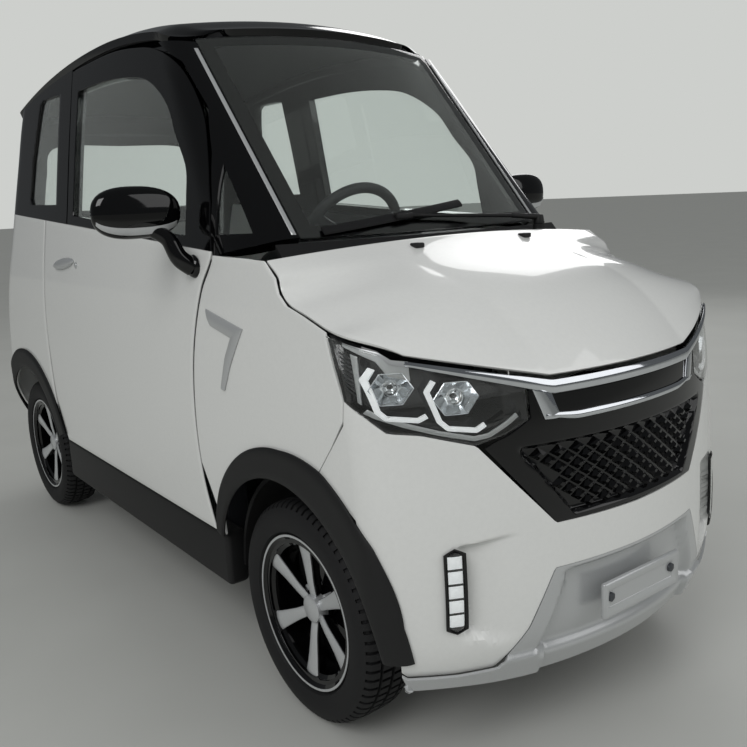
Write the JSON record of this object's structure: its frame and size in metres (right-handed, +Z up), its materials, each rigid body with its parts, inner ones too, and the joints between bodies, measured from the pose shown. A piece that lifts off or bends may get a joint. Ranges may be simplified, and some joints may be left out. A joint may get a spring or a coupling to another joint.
{
  "type": "enclosed mobility scooter",
  "caption": "Small enclosed four-wheeled electric scooter car with a closed two-door cabin, opening bonnet and tailgate, steered front wheels and turning road wheels.",
  "frame": {"origin": "middle of the bounding box on the ground", "axes": "+X forward along the vehicle, +Y to its left, +Z up"},
  "size_m": [2.7298, 1.4904, 1.6398],
  "materials": {
    "white_paint": "gloss",
    "gloss_black": "gloss",
    "black_plastic": "satin",
    "dark_plastic": "matte",
    "seat_cloth": "matte",
    "chrome_trim": "polished",
    "silver_paint": "satin",
    "glass": "gloss",
    "lamp_lens": "gloss",
    "red_lens": "gloss",
    "frame_steel": "satin",
    "battery_case": "matte",
    "tyre": "matte",
    "alloy": "machined"
  },
  "bodies": {
    "body": {"chassis_frame": "frame_steel", "floor_pan": "frame_steel", "battery_pack": "battery_case", "rear_axle": "frame_steel", "wishbones": "frame_steel", "shock_absorbers": "frame_steel", "steering_rack": "frame_steel", "wheel_tubs": "black_plastic", "side_sills": "black_plastic", "front_bumper": "white_paint", "skid_panel": "silver_paint", "plate_bracket": "silver_paint", "grille_frame": "gloss_black", "grille_mesh": "gloss_black", "chrome_bars": "chrome_trim", "headlamps": "black_plastic", "lamp_lenses": "lamp_lens", "fenders": "white_paint", "fender_vents": "chrome_trim", "arch_trims": "black_plastic", "quarter_panels": "white_paint", "cabin_frame": "gloss_black", "roof": "gloss_black", "windscreen": "glass", "quarter_glass": "glass", "cowl": "black_plastic", "wiper": "black_plastic", "rear_bumper": "white_paint", "tail_lamps": "red_lens", "dashboard": "dark_plastic", "driver_seat": "seat_cloth", "rear_bench": "seat_cloth", "hinges": "frame_steel"},
    "bonnet": {"bonnet": "white_paint"},
    "tailgate": {"tailgate": "white_paint", "tailgate_frame": "gloss_black", "rear_glass": "glass"},
    "right_door": {"door_right": "white_paint", "door_frame_right": "gloss_black", "door_glass_right": "glass", "door_hardware_right": "chrome_trim", "mirror_right": "gloss_black"},
    "left_door": {"door_left": "white_paint", "door_frame_left": "gloss_black", "door_glass_left": "glass", "door_hardware_left": "chrome_trim", "mirror_left": "gloss_black"},
    "steering_wheel": {"steering_wheel": "dark_plastic"},
    "right_knuckle": {"knuckle_right": "frame_steel"},
    "left_knuckle": {"knuckle_left": "frame_steel"},
    "front_right_wheel": {"tyre_front_right": "tyre", "rim_front_right": "alloy"},
    "front_left_wheel": {"tyre_front_left": "tyre", "rim_front_left": "alloy"},
    "rear_right_wheel": {"tyre_rear_right": "tyre", "rim_rear_right": "alloy"},
    "rear_left_wheel": {"tyre_rear_left": "tyre", "rim_rear_left": "alloy"}
  },
  "joints": [
    {"name": "right_door_hinge", "type": "hinge", "parent": "body", "child": "right_door", "pos_m": [0.43, -0.528, 0.6], "axis": [0, 0, 1], "range_deg": [0, 65]},
    {"name": "left_door_hinge", "type": "hinge", "parent": "body", "child": "left_door", "pos_m": [0.43, 0.528, 0.6], "axis": [0, 0, -1], "range_deg": [0, 65]},
    {"name": "bonnet_hinge", "type": "hinge", "parent": "body", "child": "bonnet", "pos_m": [0.868, 0, 0.996], "axis": [0, -1, 0], "range_deg": [0, 50]},
    {"name": "tailgate_hinge", "type": "hinge", "parent": "body", "child": "tailgate", "pos_m": [-1.18424, 0, 1.43448], "axis": [0, 1, 0], "range_deg": [0, 75]},
    {"name": "right_steer", "type": "hinge", "parent": "body", "child": "right_knuckle", "pos_m": [0.86, -0.3955, 0.247], "axis": [0, 0, 1], "range_deg": [-30, 30]},
    {"name": "left_steer", "type": "hinge", "parent": "body", "child": "left_knuckle", "pos_m": [0.86, 0.3955, 0.247], "axis": [0, 0, 1], "range_deg": [-30, 30]},
    {"name": "steering_turn", "type": "hinge", "parent": "body", "child": "steering_wheel", "pos_m": [0.405, 0, 1.01], "axis": [-0.8829, 0, 0.4695], "range_deg": [-135, 135]},
    {"name": "front_right_spin", "type": "hinge", "parent": "right_knuckle", "child": "front_right_wheel", "pos_m": [0.86, -0.4475, 0.247], "axis": [0, 1, 0], "continuous": true},
    {"name": "front_left_spin", "type": "hinge", "parent": "left_knuckle", "child": "front_left_wheel", "pos_m": [0.86, 0.4475, 0.247], "axis": [0, 1, 0], "continuous": true},
    {"name": "rear_right_spin", "type": "hinge", "parent": "body", "child": "rear_right_wheel", "pos_m": [-0.985, -0.4475, 0.247], "axis": [0, 1, 0], "continuous": true},
    {"name": "rear_left_spin", "type": "hinge", "parent": "body", "child": "rear_left_wheel", "pos_m": [-0.985, 0.4475, 0.247], "axis": [0, 1, 0], "continuous": true}
  ],
  "couplings": [
    {"joint": "left_steer", "follows": "right_steer", "ratio": 1},
    {"joint": "steering_turn", "follows": "right_steer", "ratio": 4.5}
  ]
}
